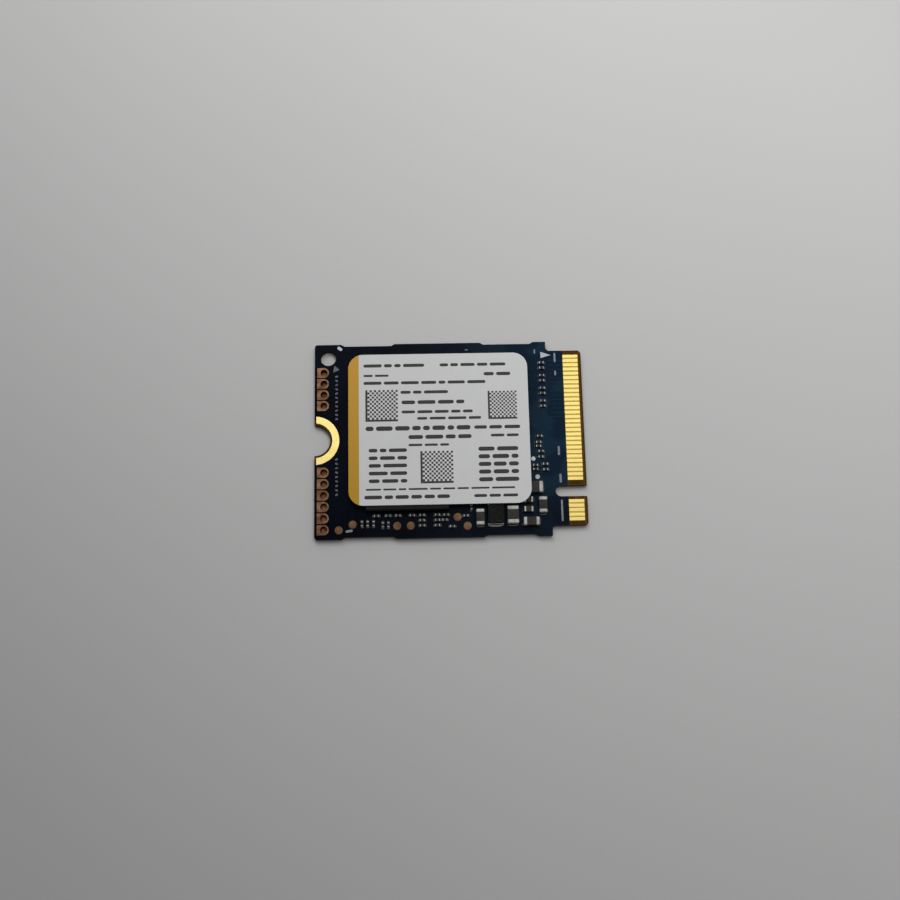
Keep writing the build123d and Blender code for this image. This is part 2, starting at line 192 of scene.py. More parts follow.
def place_in_mm(wire):
    """Where a point is on the drive, in millimetres."""
    metres = wire.node("ShaderNodeTexCoord", output="Object")
    return wire.node("ShaderNodeVectorMath", {"operation": "SCALE"}, {0: metres, "Scale": 1 / MM})


def axes_of(vector):
    """The three axes of a vector, each as a wire."""
    split = vector.node("ShaderNodeSeparateXYZ", inputs={0: vector})
    return split.out("X"), split.out("Y"), split.out("Z")


def stretched(vector, x, y, z):
    """The same place with each axis scaled, for marks that run one way."""
    return vector.node("ShaderNodeVectorMath", {"operation": "MULTIPLY"}, {0: vector, 1: (x, y, z)})


def cloud(place, per_mm, detail=3.0):
    """Soft noise from 0 to 1 with about this many blotches to a millimetre."""
    return place.node("ShaderNodeTexNoise", inputs={"Vector": place, "Scale": per_mm, "Detail": detail})


def rise(value, low, high):
    """0 below low, 1 above high and a smooth step between."""
    limits = {0: value, 1: low, 2: high}
    return value.node("ShaderNodeMapRange", {"interpolation_type": "SMOOTHSTEP"}, limits)


def colour_between(share, first, second):
    """The first colour where share is 0 and the second where it is 1."""
    return share.node("ShaderNodeMix", {"data_type": "RGBA"}, {0: share, 6: first, 7: second}, output=2)


def relief(height, depth_mm):
    """Bump of about this depth from a height between 0 and 1."""
    return height.node("ShaderNodeBump", inputs={"Height": height, "Distance": depth_mm * MM})


print("words for finishes are ready")

# %% [markdown]
# ## The circuit board
# The card is glass-fibre laminate with a very dark navy lacquer, the solder mask, on both faces. Where
# the card was routed out of its panel, and on the tongue that enters the socket, the amber laminate is
# bare. One material can tell them apart: faces that look up or down and lie behind the tongue get the
# mask, everything else gets laminate. The borders are read from the solids, so they follow the model.

# %% Where the mask ends and contacts are missing
TONGUE_LENGTH = 4.0
MASK_GAP = 0.06
finger_low, finger_high = (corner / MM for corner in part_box("top_contact_fingers"))
board_low, board_high = (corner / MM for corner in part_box("circuit_board"))
mask_end = finger_low.x - MASK_GAP
shoulder_x = board_high.x - TONGUE_LENGTH

contact_mesh = frame["nodes"]["top_contact_fingers"].data
contact_sides = sorted({vertex.co.y / MM for vertex in contact_mesh.vertices})
gaps = zip(contact_sides, contact_sides[1:])
key_low, key_high = max(gaps, key=lambda gap: gap[1] - gap[0])
print("solder mask ends at x =", round(mask_end, 3), "mm")
print("no contacts from y =", round(key_low, 2), "to", round(key_high, 2), "mm")

# %% Masked zone and open zones
BARE_RING_RADIUS = 2.4
LEVEL_ABOVE = 0.9

mask_finish, wire = start_finish("solder_mask_on_laminate", Specular_IOR_Level=0.02)
place = place_in_mm(wire)
x, y, z = axes_of(place)
facing = wire.node("ShaderNodeNewGeometry", output="True Normal")
flat = abs(axes_of(facing)[2]) > LEVEL_ABOVE
on_plan = stretched(place, 1.0, 1.0, 0.0)
from_notch = wire.node(
    "ShaderNodeVectorMath", {"operation": "DISTANCE"},
    {0: on_plan, 1: (board_low.x, 0.0, 0.0)}, output="Value")
masked = flat * (x < mask_end) * (from_notch > BARE_RING_RADIUS)
in_key = (y > key_low) * (y < key_high)
beside_contacts = (x > finger_low.x) * (x < finger_high.x) * (abs(y) < finger_high.y)
# Where the painted amber glow goes.
glow_between_contacts = beside_contacts * (1 - in_key)
print("mask is open for", BARE_RING_RADIUS, "mm round the notch")

# %% [markdown]
# The lacquer is smooth and thin, so buried copper shows through it as a faint relief and a lighter
# navy: short signal lines beside the contacts, wide copper areas and tented holes. Both of its colours
# brighten towards the connector and the far side: a painted sheen, standing in for the light there.

# %% Lacquer over buried copper
FINGER_PITCH = 0.5
LINE_WIDTH = 0.13
LINE_RUN = 1.5
LINES_FROM, LINES_TO = 2.2, 9.2
HOLES_PER_MM = 0.62
HOLE_RADIUS, HOLE_SKIRT = 0.1, 0.16
SHEEN_ALONG, SHEEN_ACROSS = (-6.0, 12.0), (-9.5, -4.5)
NEAR_SHEEN = 0.3

# Painted sheen: the lacquer's colours are made lighter towards the connector and the far side.
sheen_across = NEAR_SHEEN + rise(y, *SHEEN_ACROSS) * (1 - NEAR_SHEEN)
painted_sheen = rise(x, *SHEEN_ALONG) * sheen_across
copper_area = rise(cloud(place, 0.32, 1.0), 0.46, 0.54)
from_line = abs((y / FINGER_PITCH) % 1.0 - 0.5)
on_line = from_line < LINE_WIDTH / FINGER_PITCH / 2
lines = on_line * (x > mask_end - LINE_RUN) * (y > LINES_FROM) * (y < LINES_TO)
cells = {"Vector": place, "Scale": HOLES_PER_MM}
from_hole = wire.node("ShaderNodeTexVoronoi", {"voronoi_dimensions": "2D"}, cells) / HOLES_PER_MM
tented_hole = 1 - rise(from_hole, HOLE_RADIUS, HOLE_SKIRT)

# Each pair runs from the unlit navy to the same navy with the painted sheen.
navy_with_sheen = colour_between(painted_sheen, (0.0009, 0.0018, 0.005), (0.0029, 0.013, 0.0305))
copper_navy_with_sheen = colour_between(painted_sheen, (0.0015, 0.0036, 0.009), (0.0084, 0.0275, 0.0495))
copper_share = copper_area * 0.6 + lines * 0.8 + tented_hole * 0.5
mask_colour = colour_between(copper_share * (0.6 + cloud(place, 3.0) * 0.8), navy_with_sheen, copper_navy_with_sheen)
buried_height = copper_area * 0.35 + lines + tented_hole * 0.9 + cloud(place, 9.0) * 0.12
print("signal lines run", LINE_RUN, "mm from the mask's end")

# %% [markdown]
# Cut laminate is dark brown, with its plies as fine lines along the edge. Only between the contacts it
# is painted bright amber: a painted glow, standing in for the light that the gold throws back into the
# glass. The weave is two noises, each stretched along one run of threads.

# %% Bare and cut laminate
PLY_THICKNESS = 0.2
LAMINATE_ROUGHNESS = 0.62

weave = cloud(stretched(place, 0.4, 5.0, 1.0), 1.6) + cloud(stretched(place, 5.0, 0.4, 1.0), 1.6)
threads = rise(weave, 0.7, 1.3)
# Painted glow: the laminate between the contacts is painted bright amber, for light thrown back by the
# gold.
painted_amber_glow = colour_between(threads, (0.54, 0.40, 0.085), (0.66, 0.51, 0.13))
bare_brown = colour_between(threads, (0.05, 0.022, 0.004), (0.095, 0.05, 0.012))
laminate_with_painted_glow = colour_between(glow_between_contacts, bare_brown, painted_amber_glow)
plies = rise(abs((z / PLY_THICKNESS) % 1.0 - 0.5), 0.3, 0.45) * (0.5 + cloud(place, 5.0))
routed_brown = colour_between(plies, (0.034, 0.020, 0.010), (0.010, 0.007, 0.005))
tongue_brown = colour_between(plies, (0.105, 0.056, 0.013), (0.045, 0.022, 0.007))
edge_brown = colour_between(x > shoulder_x, routed_brown, tongue_brown)
laminate_colour = colour_between(flat, edge_brown, laminate_with_painted_glow)
print("laminate shows plies of", PLY_THICKNESS, "mm")

# %% Mask over laminate
mask_roughness = 0.3 + cloud(place, 1.1) * 0.12
end_finish(
    mask_finish,
    Base_Color=colour_between(masked, laminate_colour, mask_colour),
    Roughness=LAMINATE_ROUGHNESS - masked * (LAMINATE_ROUGHNESS - mask_roughness),
    Normal=relief(masked * buried_height + (1 - masked) * weave * 0.3, 0.012),
)

# %% [markdown]
# ## Metals
# The contacts and the screw land are gold over nickel. They are satin, not mirror bright, and the
# contacts carry fine wipe marks along the card from the socket's springs. The pads at the notch end are
# bare copper that has browned under its thin preservative. Part ends are plated with grey tin, and the
# solder beside them is a little brighter, with an amber breath of flux. All are the same recipe: a
# metal whose colour and roughness wander with noise.

# %% Gold, copper, tin and solder
FINER = 6


def wandering_metal(name, dark, light, per_mm, rough, bump_mm, along=(1.0, 1.0, 1.0)):
    """Metal whose colour and roughness vary with noise that may run along one axis."""
    material, wire = start_finish(name, Metallic=1.0)
    place = stretched(place_in_mm(wire), *along)
    patches = cloud(place, per_mm, 4.0)
    fine = cloud(place, per_mm * FINER, 2.0)
    shade = rise(patches * 0.7 + fine * 0.3, 0.32, 0.68)
    end_finish(
        material,
        Base_Color=colour_between(shade, dark, light),
        Roughness=rough[0] + fine * (rough[1] - rough[0]),
        Normal=relief(fine, bump_mm),
    )
    return material


WIPED_ALONG = (0.25, 6.0, 1.0)
contact_gold = wandering_metal(
    "contact_gold", (0.53, 0.405, 0.128), (0.61, 0.475, 0.163),
    per_mm=2.0, rough=(0.44, 0.56), bump_mm=0.0015, along=WIPED_ALONG)
land_gold = wandering_metal(
    "land_gold", (0.535, 0.405, 0.13), (0.61, 0.49, 0.19),
    per_mm=1.4, rough=(0.3, 0.46), bump_mm=0.002)
pad_copper = wandering_metal(
    "pad_copper", (0.073, 0.031, 0.014), (0.205, 0.115, 0.064),
    per_mm=1.3, rough=(0.42, 0.6), bump_mm=0.003)
test_point_copper = wandering_metal(
    "test_point_copper", (0.068, 0.037, 0.018), (0.128, 0.078, 0.043),
    per_mm=1.6, rough=(0.44, 0.6), bump_mm=0.003)
camera_mark_tin = wandering_metal(
    "camera_mark_tin", (0.24, 0.245, 0.245), (0.38, 0.385, 0.38),
    per_mm=2.0, rough=(0.5, 0.62), bump_mm=0.003)
part_tin = wandering_metal(
    "part_tin", (0.205, 0.2025, 0.194), (0.325, 0.325, 0.314),
    per_mm=2.2, rough=(0.46, 0.62), bump_mm=0.004)
joint_solder = wandering_metal(
    "joint_solder", (0.235, 0.226, 0.208), (0.37, 0.367, 0.358),
    per_mm=2.6, rough=(0.3, 0.48), bump_mm=0.004)
tiny_tin = wandering_metal(
    "tiny_tin", (0.135, 0.138, 0.136), (0.26, 0.266, 0.267),
    per_mm=3.0, rough=(0.4, 0.58), bump_mm=0.004)

# %% [markdown]
# ## Ceramic, moulded epoxy and pressed powder
# Chip capacitors are fired ceramic, brown-grey with a fine grain. Packages are black epoxy on a thin
# green-black carrier, which shows as a line along their sides. The coil is moulded into pressed iron
# powder, so its block is charcoal with a coarse, faintly sparkling grain. In each, height above the
# board or a noise decides what a point is made of.

# %% Ceramic of the chip parts
ceramic_finish, wire = start_finish("fired_ceramic", Specular_IOR_Level=0.18)
place = place_in_mm(wire)
fired = cloud(place, 1.7)
grain = cloud(place, 22.0, 2.0)
shade = rise(fired * 0.6 + grain * 0.4, 0.35, 0.65)
end_finish(
    ceramic_finish,
    Base_Color=colour_between(shade, (0.0105, 0.0095, 0.0064), (0.0275, 0.0246, 0.0176)),
    Roughness=0.42 + grain * 0.2,
    Normal=relief(grain, 0.003),
)

# %% Epoxy packages on their carriers
CARRIER_THICKNESS = 0.22
package_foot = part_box("flash_package")[0].z / MM
carrier_top = package_foot + CARRIER_THICKNESS

mould_finish, wire = start_finish("moulded_epoxy", Specular_IOR_Level=0.1)
place = place_in_mm(wire)
carrier = axes_of(place)[2] < carrier_top
grain = cloud(place, 16.0, 2.0)
mould_colour = colour_between(grain, (0.005, 0.005, 0.0055), (0.013, 0.013, 0.014))
carrier_colour = colour_between(cloud(place, 4.0), (0.012, 0.026, 0.016), (0.024, 0.045, 0.028))
end_finish(
    mould_finish,
    Base_Color=colour_between(carrier, mould_colour, carrier_colour),
    Roughness=0.62 - carrier * 0.2 + grain * 0.1,
    Normal=relief(grain, 0.004),
)

# %% Pressed iron powder of the coil
powder_finish, wire = start_finish("pressed_powder", Specular_IOR_Level=0.07)
place = place_in_mm(wire)
grains = wire.node("ShaderNodeTexVoronoi", inputs={"Vector": place, "Scale": 9.0})
sparkle = rise(axes_of(grains.out("Color"))[0], 0.78, 0.95)
shade = sparkle * 0.7 + cloud(place, 2.0) * 0.3
end_finish(
    powder_finish,
    Base_Color=colour_between(shade, (0.0022, 0.0025, 0.0027), (0.013, 0.014, 0.0145)),
    Roughness=0.55 - sparkle * 0.15,
    Normal=relief(grains, 0.006),
)

# %% Plated lid on the clock crystal
LID_HEIGHT = 0.2
crystal_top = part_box("clock_crystal")[1].z / MM
lid_finish, wire = start_finish("crystal_lid_and_base")
place = place_in_mm(wire)
lid = axes_of(place)[2] > crystal_top - LID_HEIGHT
brushed = cloud(stretched(place, 0.3, 8.0, 1.0), 2.0)
lid_colour = colour_between(brushed, (0.55, 0.55, 0.54), (0.72, 0.71, 0.69))
base_colour = colour_between(cloud(place, 8.0), (0.05, 0.045, 0.04), (0.09, 0.08, 0.07))
end_finish(
    lid_finish,
    Base_Color=colour_between(lid, base_colour, lid_colour),
    Metallic=lid * 1.0,
    Roughness=0.6 - lid * 0.3 + brushed * 0.1,
)

# %% [markdown]
# ## The label
# A white plastic film lies across both packages, with a mustard band along the end near the screw. Film
# is never quite flat or evenly white: it has a soft mottle, a weak gloss, and slow waves. The band is
# printed, so it is only a change of colour at a known distance from the edge.

# %% White film with a mustard band
label_low, label_high = (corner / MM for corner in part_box("label"))
BAND_WIDTH = 1.16
BAND_BLUR = 0.03
band_end = label_low.x + BAND_WIDTH

film_finish, wire = start_finish("label_film", Specular_IOR_Level=0.2)
place = place_in_mm(wire)
x, y, _ = axes_of(place)
band = 1 - rise(x, band_end - BAND_BLUR, band_end + BAND_BLUR)
mottle = cloud(place, 0.8)
fibre = cloud(place, 14.0, 2.0)
white = colour_between(mottle * 0.7 + fibre * 0.3, (0.60, 0.60, 0.60), (0.68, 0.682, 0.685))
band_shade = rise(y, -7.0, 9.0) * 0.7 + fibre * 0.3
mustard = colour_between(band_shade, (0.475, 0.262, 0.0095), (0.585, 0.305, 0.028))
waves = cloud(place, 0.22, 1.0) * 0.9 + fibre * 0.04
end_finish(
    film_finish,
    Base_Color=colour_between(band, white, mustard),
    Roughness=0.42 + mottle * 0.15,
    Normal=relief(waves, 0.03),
)

# %% Printing inks
def printed_ink(name, dark, light):
    """Ink that is a little thin and uneven where the head was dry."""
    material, wire = start_finish(name, Specular_IOR_Level=0.3)
    place = place_in_mm(wire)
    thin = rise(cloud(place, 5.0) * 0.6 + cloud(place, 1.2) * 0.4, 0.35, 0.7)
    colour = colour_between(thin, dark, light)
    end_finish(material, Base_Color=colour, Roughness=0.5 + thin * 0.15, Normal=relief(thin, 0.002))
    return material


label_ink = printed_ink("label_ink", (0.012, 0.012, 0.013), (0.03, 0.03, 0.032))
full_ink = printed_ink("full_board_ink", (0.42, 0.45, 0.48), (0.66, 0.68, 0.70))
board_ink = printed_ink("board_ink", (0.15, 0.17, 0.20), (0.30, 0.33, 0.37))
faint_ink = printed_ink("faint_board_ink", (0.06, 0.07, 0.085), (0.17, 0.19, 0.215))

# %% [markdown]
# ## Dressing the solids
# Most solids are right as they are and only need their finish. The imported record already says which
# finish each node takes, so the loop below follows it instead of a second list of names.

# %% A finish for every node
finish_of_slot = {
    "solder_mask": mask_finish,
    "gold": contact_gold,
    "copper": pad_copper,
    "tin": part_tin,
    "solder": joint_solder,
    "ceramic": ceramic_finish,
    "black_mould": mould_finish,
    "inductor_black": powder_finish,
    "label_film": film_finish,
    "crystal_lid": lid_finish,
}
for subpart in frame["record"]["subparts"]:
    node = frame["nodes"][subpart["node"]]
    node.data.materials.clear()
    node.data.materials.append(finish_of_slot[subpart["material_slot"]])
print("dressed", len(frame["nodes"]), "nodes")

# %% [markdown]
# ## Meshes in millimetres
# Pieces that Blender draws anew are a tenth of a millimetre across. Blender's bevel tool rounds badly
# at that size in metres, so meshes are drawn in millimetres and shrunk once, when they become objects.
# Their places come from the CAD solids: a node that holds many loose solids is taken apart, and each
# solid's box says where its finer twin goes.

# %% Take a node apart into its solids
WELD_DISTANCE = 0.0005


def solids_of(node):
    """Lowest and highest corner, in millimetres, of each separate solid of a CAD node."""
    bm = bmesh.new()
    bm.from_mesh(frame["nodes"][node].data)
    bmesh.ops.scale(bm, vec=(1 / MM,) * 3, verts=bm.verts)
    bmesh.ops.remove_doubles(bm, verts=bm.verts, dist=WELD_DISTANCE)
    unseen = set(bm.verts)
    boxes = []
    while unseen:
        frontier = [unseen.pop()]
        corners = []
        while frontier:
            vertex = frontier.pop()
            corners.append(vertex.co.copy())
            for edge in vertex.link_edges:
                neighbour = edge.other_vert(vertex)
                if neighbour in unseen:
                    unseen.remove(neighbour)
                    frontier.append(neighbour)
        low = Vector(min(corner[axis] for corner in corners) for axis in range(3))
        high = Vector(max(corner[axis] for corner in corners) for axis in range(3))
        boxes.append((low, high))
    bm.free()
    return sorted(boxes, key=lambda box: tuple(box[0]))


print("top contacts found:", len(solids_of("top_contact_fingers")))

# %% [markdown]
# A rounded edge is only a few thin faces beside a large flat one. If all of them counted alike, the
# flat face would be shaded like a pillow. So each corner's normal is a mean weighted by area, in which
# the flat face wins, and faces that meet at a sharp turn are left out of it.

# %% Draw in millimetres, then make the piece
SMOOTH_BELOW = math.radians(38)


def flat_first_normals(bm):
    """A normal for each face corner: the mean, by area, of the faces that meet there softly."""
    bm.normal_update()
    weighted = {face: face.normal * face.calc_area() for face in bm.faces}
    normals = []
    for face in bm.faces:
        for corner in face.verts:
            mean = Vector()
            for other in corner.link_faces:
                if other.normal.angle(face.normal, 0.0) < SMOOTH_BELOW:
                    mean += weighted[other]
            normals.append(mean.normalized())
    return normals


def new_piece(name, bm, material, stands_for=()):
    """Shrinks a drawing to metres and makes it a piece that rides on the drive."""
    bmesh.ops.recalc_face_normals(bm, faces=bm.faces)
    normals = flat_first_normals(bm)
    bmesh.ops.scale(bm, vec=(MM,) * 3, verts=bm.verts)
    mesh = bpy.data.meshes.new(name)
    bm.to_mesh(mesh)
    bm.free()
    mesh.polygons.foreach_set("use_smooth", [True] * len(mesh.polygons))
    mesh.normals_split_custom_set(normals)
    mesh.materials.append(material)
    piece = bpy.data.objects.new(name, mesh)
    bpy.context.scene.collection.objects.link(piece)
    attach(piece, "root")
    if stands_for:
        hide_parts(*stands_for)
    print("piece", name, "with", len(mesh.polygons), "faces")


print("faces that turn by less than", round(math.degrees(SMOOTH_BELOW)), "degrees are shaded as one")

# %% Blocks, prisms and skins
def add_rounded_block(bm, low, high, radius, segments=2):
    """Block between two corners with all its edges rounded."""
    corners = bmesh.ops.create_cube(bm, size=1.0)["verts"]
    middle = (low + high) / 2
    size = high - low
    for corner in corners:
        corner.co = middle + corner.co * size
    edges = list({edge for corner in corners for edge in corner.link_edges})
    bmesh.ops.bevel(bm, geom=edges, offset=radius, segments=segments, profile=0.5, affect="EDGES")


def add_skin(bm, rings):
    """Quads between rings of equally many points, with a cap on both ends."""
    made = [[bm.verts.new(point) for point in ring] for ring in rings]
    bm.faces.new(made[0][::-1])
    bm.faces.new(made[-1])
    for first, second in zip(made, made[1:]):
        for index in range(len(first)):
            following = (index + 1) % len(first)
            bm.faces.new((first[index], first[following], second[following], second[index]))


def add_prism(bm, outline, levels):
    """Upright prism over a run of (x, y) points, between two levels."""
    add_skin(bm, [[(px, py, level) for px, py in outline] for level in levels])


def on_circle(centre, radius, turn, height):
    """Point at an angle on a level circle."""
    return centre.x + radius * math.cos(turn), centre.y + radius * math.sin(turn), height


def ring_of(centre, radius, height, sides):
    """Level circle of points."""
    turns = [2 * math.pi * index / sides for index in range(sides)]
    return [on_circle(centre, radius, turn, height) for turn in turns]


print("mesh words are ready")

# %% [markdown]
# ## Contact fingers
# Each contact is a strip of plated copper. Etching leaves its edges slightly soft, and that thin bright
# edge is what makes a row of contacts glitter, so every strip is redrawn with its edges rounded.

# %% Softly edged contacts on both faces
CONTACT_EDGE = 0.012
for row in ("top_contact_fingers", "bottom_contact_fingers"):
    contacts = bmesh.new()
    for low, high in solids_of(row):
        add_rounded_block(contacts, low, high, CONTACT_EDGE)
    new_piece(row.replace("fingers", "strips"), contacts, contact_gold, [row])

# %% [markdown]
# ## Screw land
# The gold half ring takes the head of the fixing screw. It is a true arc, drawn here with many more
# segments than the solid, and its plated rim is rounded. One ring of profile points is swept along the
# arc, on the upper face and again on the back.

# %% Half rings on both faces
LAND_SEGMENTS = 72
LAND_RIM = 0.02
notch_centre = Vector((board_low.x, 0.0, 0.0))
land_mesh = frame["nodes"]["screw_lands"].data
land_points = [vertex.co / MM - notch_centre for vertex in land_mesh.vertices]
land_inner = min(math.hypot(point.x, point.y) for point in land_points)
land_outer = max(math.hypot(point.x, point.y) for point in land_points)
land_end_margin = min(point.x for point in land_points)

lands = bmesh.new()
for low, high in solids_of("screw_lands"):
    profile = [
        (land_inner, low.z), (land_inner, high.z - LAND_RIM), (land_inner + LAND_RIM, high.z),
        (land_outer - LAND_RIM, high.z), (land_outer, high.z - LAND_RIM), (land_outer, low.z),
    ]
    if low.z < board_high.z / 2:
        profile = [(radius, low.z + high.z - height) for radius, height in profile]
    sections = []
    for step in range(LAND_SEGMENTS + 1):
        section = []
        for radius, height in profile:
            reach = math.acos(land_end_margin / radius)
            turn = reach * (2 * step / LAND_SEGMENTS - 1)
            section.append(on_circle(notch_centre, radius, turn, height))
        sections.append(section)
    add_skin(lands, sections)
new_piece("screw_half_rings", lands, land_gold, ["screw_lands"])

# %% [markdown]
# ## Round pads and plated holes
# Test points and the camera marks of the assembly line are small discs. The pads at the notch end are
# D-shaped, each with a plated cup that ends in the copper on the back. A pad is one closed skin: from
# the floor of the cup up its wall, out over the pad, down its rim and along the barrel to the back. The
# rings of points all share the same angles about the cup, so the skin never twists.

# %% Discs for test points and camera marks
DISC_SIDES = 40
PAD_PROUD = 0.004
DISC_RIM = 0.015
for node, name, material, slot in (
    ("test_points", "test_point_discs", test_point_copper, "copper"),
    ("fiducial_pads", "camera_mark_discs", camera_mark_tin, "tin"),
):
    discs = bmesh.new()
    for low, high in solids_of(node):
        centre = (low + high) / 2
        radius = (high.x - low.x) / 2
        level = high.z + PAD_PROUD
        add_skin(discs, [
            ring_of(centre, radius, low.z + DISC_RIM, DISC_SIDES),
            ring_of(centre, radius, level - DISC_RIM / 2, DISC_SIDES),
            ring_of(centre, radius - DISC_RIM, level, DISC_SIDES),
        ])
    new_piece(name, discs, material, [node])

# %% Drilled pads along the notch end
BORE_RADIUS = 0.375
BARREL_WALL = 0.035
BACK_RING_RADIUS = 0.525
PAD_THICKNESS = 0.035
CUP_FILLET = 0.06
QUARTER_STEPS = 9


def pad_angles(half_width, straight):
    """Angles about the bore that hit both corners of the D and fill the gaps evenly."""
    corner = math.pi - math.atan2(half_width, straight)
    stops = [-math.pi / 2, math.pi / 2, corner, 2 * math.pi - corner, 1.5 * math.pi]
    angles = []
    for start, stop in zip(stops, stops[1:]):
        steps = QUARTER_STEPS * (2 if start < 0 else 1)
        angles += [start + (stop - start) * step / steps for step in range(steps)]
    return angles


def pad_reach(angle, half_width, straight):
    """Distance from the bore to the edge of the D at an angle."""
    across, along = math.sin(angle), math.cos(angle)
    if along >= 0:
        return half_width
    return min(straight / -along, half_width / max(abs(across), 1e-9))


def add_drilled_pad(bm, low, high):
    """D-shaped pad with a plated cup, as one skin from the cup's floor to the back."""
    half_width = (high.y - low.y) / 2
    bore = Vector((high.x - half_width, (low.y + high.y) / 2, 0.0))
    straight = bore.x - low.x
    angles = pad_angles(half_width, straight)
    edge = [pad_reach(angle, half_width, straight) for angle in angles]
    face = high.z + PAD_PROUD
    back = low.z - PAD_PROUD
    pad_foot = high.z - PAD_THICKNESS
    cup_floor = low.z + PAD_THICKNESS
    barrel = BORE_RADIUS + BARREL_WALL

    def ring(radii, height):
        return [on_circle(bore, radius, turn, height) for radius, turn in zip(radii, angles)]

    def even(radius, height):
        return ring([radius] * len(angles), height)

    add_skin(bm, [
        even(BORE_RADIUS - CUP_FILLET, cup_floor),
        even(BORE_RADIUS, cup_floor + CUP_FILLET),
        even(BORE_RADIUS, face - DISC_RIM),
        even(BORE_RADIUS + DISC_RIM, face),
        ring([reach - DISC_RIM for reach in edge], face),
        ring(edge, face - DISC_RIM),
        ring(edge, pad_foot),
        even(barrel, pad_foot),
        even(barrel, cup_floor),
        even(BACK_RING_RADIUS, cup_floor),
        even(BACK_RING_RADIUS - DISC_RIM, back),
    ])


for node in ("upper_edge_pads", "lower_edge_pads"):
    pads = bmesh.new()
    for low, high in solids_of(node):
        add_drilled_pad(pads, low, high)
    new_piece(node.replace("edge", "drilled"), pads, pad_copper, [node])

# %% [markdown]
# ## Balls under the packages
# Between card and package stand solder balls, squeezed into barrels when they melted. Only the outer
# rows are ever seen, from low down, but they are what holds a package off its card. Five rings of
# points give each barrel its belly.

# %% Barrel-shaped solder balls
BALL_SIDES = 14
BALL_PROFILE = ((0.80, 0.0), (0.97, 0.22), (1.04, 0.5), (0.97, 0.78), (0.80, 1.0))
for node in ("flash_solder_balls", "controller_solder_balls"):
    balls = bmesh.new()
    for low, high in solids_of(node):
        centre = (low + high) / 2
        radius = (high.x - low.x) / 2
        height = high.z - low.z
        add_skin(balls, [
            ring_of(centre, radius * share, low.z + height * level, BALL_SIDES)
            for share, level in BALL_PROFILE
        ])
    new_piece(node.replace("balls", "barrels"), balls, joint_solder, [node])

# %% [markdown]
# ## Chip capacitors
# A chip capacitor is a ceramic brick dipped at both ends in silver paste and plated. The dip gives the
# ends soft, full edges, so each end cap is redrawn as a well rounded block over the brick. The CAD
# solid keeps its crisp shape for measuring; the eye gets the round one.

# %% Rounded bricks and their dipped ends
LARGE_PARTS = (
    "left_power_capacitor", "right_power_capacitor", "corner_capacitor", "key_capacitor",
    "label_edge_capacitor", "lower_small_capacitor", "upper_small_capacitor",
)
BRICK_EDGE = 0.03
CAP_EDGE_SHARE = 0.14
CAP_SEGMENTS = 4
for part in LARGE_PARTS:
    brick = bmesh.new()
    for low, high in solids_of(part + "_body"):
        add_rounded_block(brick, low, high, BRICK_EDGE)
    new_piece(part + "_brick", brick, ceramic_finish, [part + "_body"])
    caps = bmesh.new()
    for low, high in solids_of(part + "_end_caps"):
        add_rounded_block(caps, low, high, (high.z - low.z) * CAP_EDGE_SHARE, CAP_SEGMENTS)
    new_piece(part + "_dipped_ends", caps, part_tin, [part + "_end_caps"])

# %% [markdown]
# ## Tiny parts and their solder
# The smallest parts are 0.6 mm long. At this size the solder matters as much as the part: it climbs
# each end in a hollow curve and spreads over the pad, so under a lamp a row of them looks like pairs of
# bright dots. A fillet is drawn as a few hollow profiles side by side that shrink towards the corners.

# %% One hollow fillet of solder
FILLET_STEPS = 6
FILLET_SLICES = 7
CORNER_LOSS, CORNER_POWER = 0.45, 4
HOLLOWNESS = 1.8


def add_fillet(bm, foot, outward, width, run, climb):
    """Fillet that starts at foot, on the board against a part's end, and runs outward."""
    across = Vector((-outward.y, outward.x, 0.0))
    up = Vector((0.0, 0.0, 1.0))
    slices = []
    for slice_index in range(FILLET_SLICES):
        side = 2 * slice_index / (FILLET_SLICES - 1) - 1
        fullness = 1 - CORNER_LOSS * side ** CORNER_POWER
        origin = foot + across * (side * width / 2)
        section = [origin]
        for step in range(FILLET_STEPS + 1):
            share = step / FILLET_STEPS
            height = climb * fullness * (1 - share) ** HOLLOWNESS
            section.append(origin + outward * (run * fullness * share) + up * height)
        slices.append(section)
    add_skin(bm, slices)


def outward_of(part_middle, end_middle):
    """Unit direction along the board from a part's middle to its end, along X or Y."""
    away = end_middle - part_middle
    if abs(away.x) > abs(away.y):
        return Vector((math.copysign(1.0, away.x), 0.0, 0.0))
    return Vector((0.0, math.copysign(1.0, away.y), 0.0))


def along_and_across(size, outward):
    """A box's length along a direction on the board, and its width across it."""
    along = abs(size.dot(outward))
    return along, size.x + size.y - along


def middle_of(box):
    """Middle of a box given as its lowest and highest corner."""
    return (box[0] + box[1]) / 2


print("fillets have", FILLET_SLICES, "slices")

# %% Tiny parts with rounded ends and soldered pads
TINY_GROUPS = ("coupling_capacitor", "control_part", "strip_part")
TINY_EDGE = 0.05
TINY_SEGMENTS = 3
TINY_BODY_EDGE = 0.015
TINY_RUN = 0.13
TINY_CLIMB = 0.22
TINY_SPREAD = 1.12
tuck = TINY_EDGE / 2
for group in TINY_GROUPS:
    bodies = solids_of(group + "_bodies")
    middles = bmesh.new()
    for low, high in bodies:
        add_rounded_block(middles, low, high, TINY_BODY_EDGE)
    new_piece(group + "_middles", middles, ceramic_finish, [group + "_bodies"])
    body_middles = [middle_of(box) for box in bodies]
    tips = bmesh.new()
    fillets = bmesh.new()
    for low, high in solids_of(group + "_ends"):
        add_rounded_block(tips, low, high, TINY_EDGE, TINY_SEGMENTS)
        end_middle = middle_of((low, high))
        part_middle = min(body_middles, key=lambda spot: (spot - end_middle).length)
        outward = outward_of(part_middle, end_middle)
        depth, width = along_and_across(high - low, outward)
        foot = end_middle + outward * (depth / 2 - tuck)
        foot.z = low.z
        add_fillet(fillets, foot, outward, width * TINY_SPREAD, TINY_RUN + tuck, TINY_CLIMB)
    new_piece(group + "_tips", tips, tiny_tin, [group + "_ends"])
    new_piece(group + "_fillets", fillets, tiny_tin)

